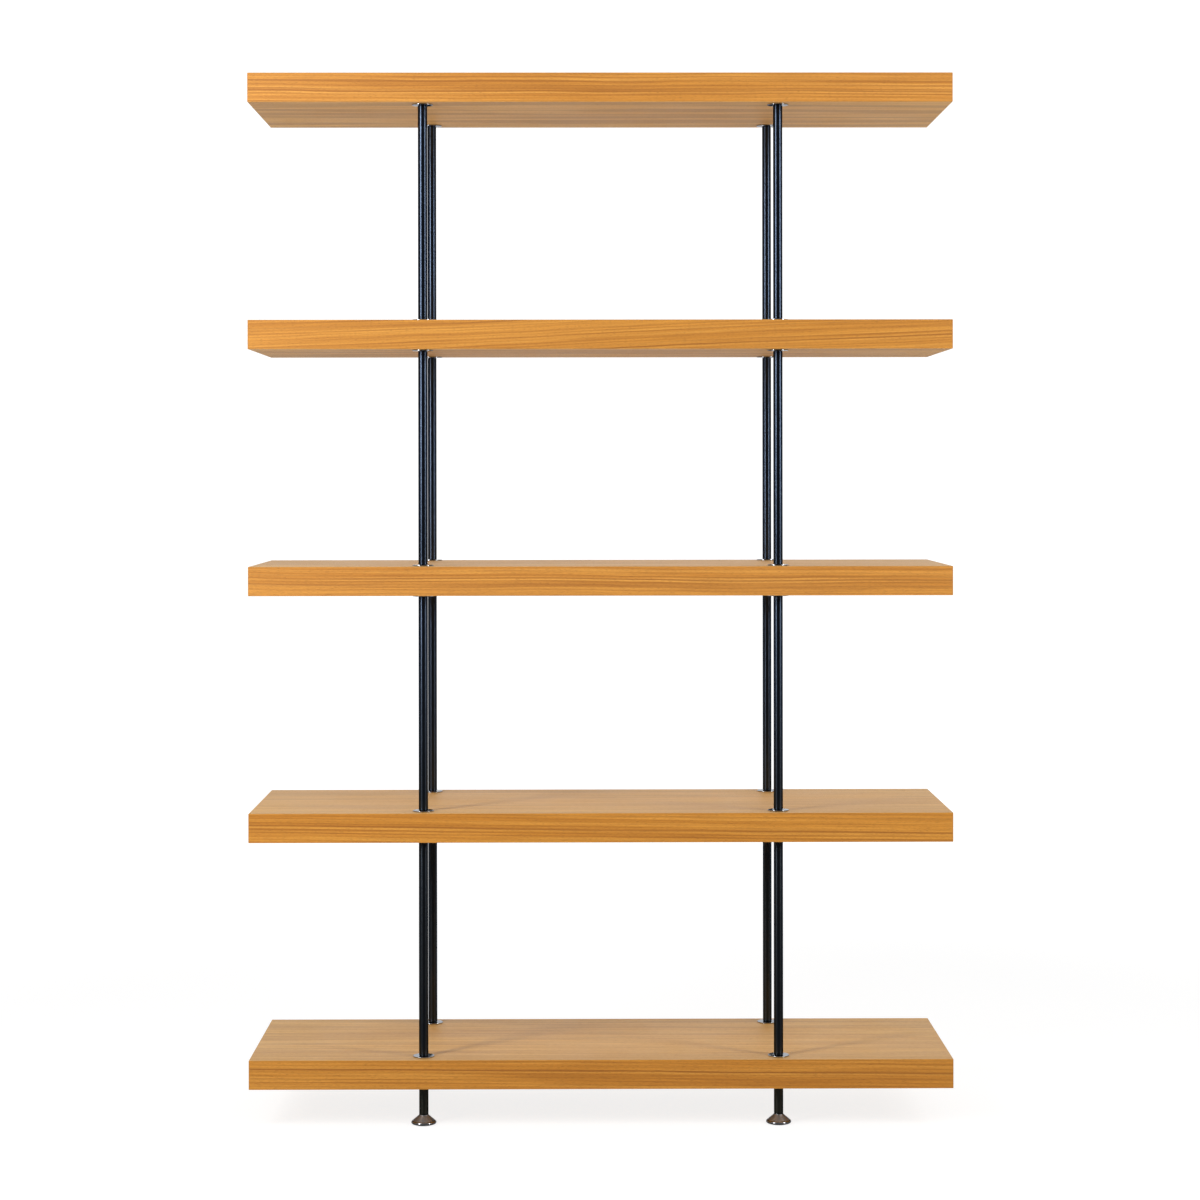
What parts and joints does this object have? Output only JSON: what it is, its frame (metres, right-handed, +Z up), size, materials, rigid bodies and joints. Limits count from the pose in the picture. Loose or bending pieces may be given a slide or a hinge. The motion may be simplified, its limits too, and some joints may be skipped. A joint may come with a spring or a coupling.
{
  "type": "bookcase",
  "caption": "Free-standing open bookcase: thick veneered shelves clamped between slim dark round steel posts that screw together, with bright rings and bright cone levelling feet.",
  "frame": {"origin": "on the floor under the middle of the shelves", "axes": "+Z up, +X to the right and +Y to the back, seen from the front"},
  "size_m": [1.2, 0.35, 1.7959],
  "materials": {
    "veneer": "satin clear-coated warm tan veneer, fine straight grain along the shelf",
    "dark_steel": "semi-gloss blue-black finish on round steel bar",
    "chrome": "polished chrome plate",
    "zinc": "zinc-plated screw steel",
    "nylon": "matt black nylon"
  },
  "bodies": {
    "frame": {"shelf_1": "veneer", "shelf_2": "veneer", "shelf_3": "veneer", "shelf_4": "veneer", "shelf_5": "veneer", "ferrule_1_front_left": "chrome", "rod_1_front_left": "dark_steel", "ferrule_2_front_left": "chrome", "rod_2_front_left": "dark_steel", "ferrule_3_front_left": "chrome", "rod_3_front_left": "dark_steel", "ferrule_4_front_left": "chrome", "rod_4_front_left": "dark_steel", "insert_front_left": "chrome", "leg_front_left": "dark_steel", "ferrule_1_front_right": "chrome", "rod_1_front_right": "dark_steel", "ferrule_2_front_right": "chrome", "rod_2_front_right": "dark_steel", "ferrule_3_front_right": "chrome", "rod_3_front_right": "dark_steel", "ferrule_4_front_right": "chrome", "rod_4_front_right": "dark_steel", "insert_front_right": "chrome", "leg_front_right": "dark_steel", "ferrule_1_rear_left": "chrome", "rod_1_rear_left": "dark_steel", "ferrule_2_rear_left": "chrome", "rod_2_rear_left": "dark_steel", "ferrule_3_rear_left": "chrome", "rod_3_rear_left": "dark_steel", "ferrule_4_rear_left": "chrome", "rod_4_rear_left": "dark_steel", "insert_rear_left": "chrome", "leg_rear_left": "dark_steel", "ferrule_1_rear_right": "chrome", "rod_1_rear_right": "dark_steel", "ferrule_2_rear_right": "chrome", "rod_2_rear_right": "dark_steel", "ferrule_3_rear_right": "chrome", "rod_3_rear_right": "dark_steel", "ferrule_4_rear_right": "chrome", "rod_4_rear_right": "dark_steel", "insert_rear_right": "chrome", "leg_rear_right": "dark_steel"},
    "foot_front_left": {"foot_cap_front_left": "chrome", "foot_stem_front_left": "zinc", "foot_pad_front_left": "nylon"},
    "foot_front_right": {"foot_cap_front_right": "chrome", "foot_stem_front_right": "zinc", "foot_pad_front_right": "nylon"},
    "foot_rear_left": {"foot_cap_rear_left": "chrome", "foot_stem_rear_left": "zinc", "foot_pad_rear_left": "nylon"},
    "foot_rear_right": {"foot_cap_rear_right": "chrome", "foot_stem_rear_right": "zinc", "foot_pad_rear_right": "nylon"}
  },
  "joints": [
    {"name": "level_front_left", "type": "slide", "parent": "frame", "child": "foot_front_left", "axis": [0, 0, -1], "range_m": [0, 0.01]},
    {"name": "level_front_right", "type": "slide", "parent": "frame", "child": "foot_front_right", "axis": [0, 0, -1], "range_m": [0, 0.01]},
    {"name": "level_rear_left", "type": "slide", "parent": "frame", "child": "foot_rear_left", "axis": [0, 0, -1], "range_m": [0, 0.01]},
    {"name": "level_rear_right", "type": "slide", "parent": "frame", "child": "foot_rear_right", "axis": [0, 0, -1], "range_m": [0, 0.01]}
  ]
}
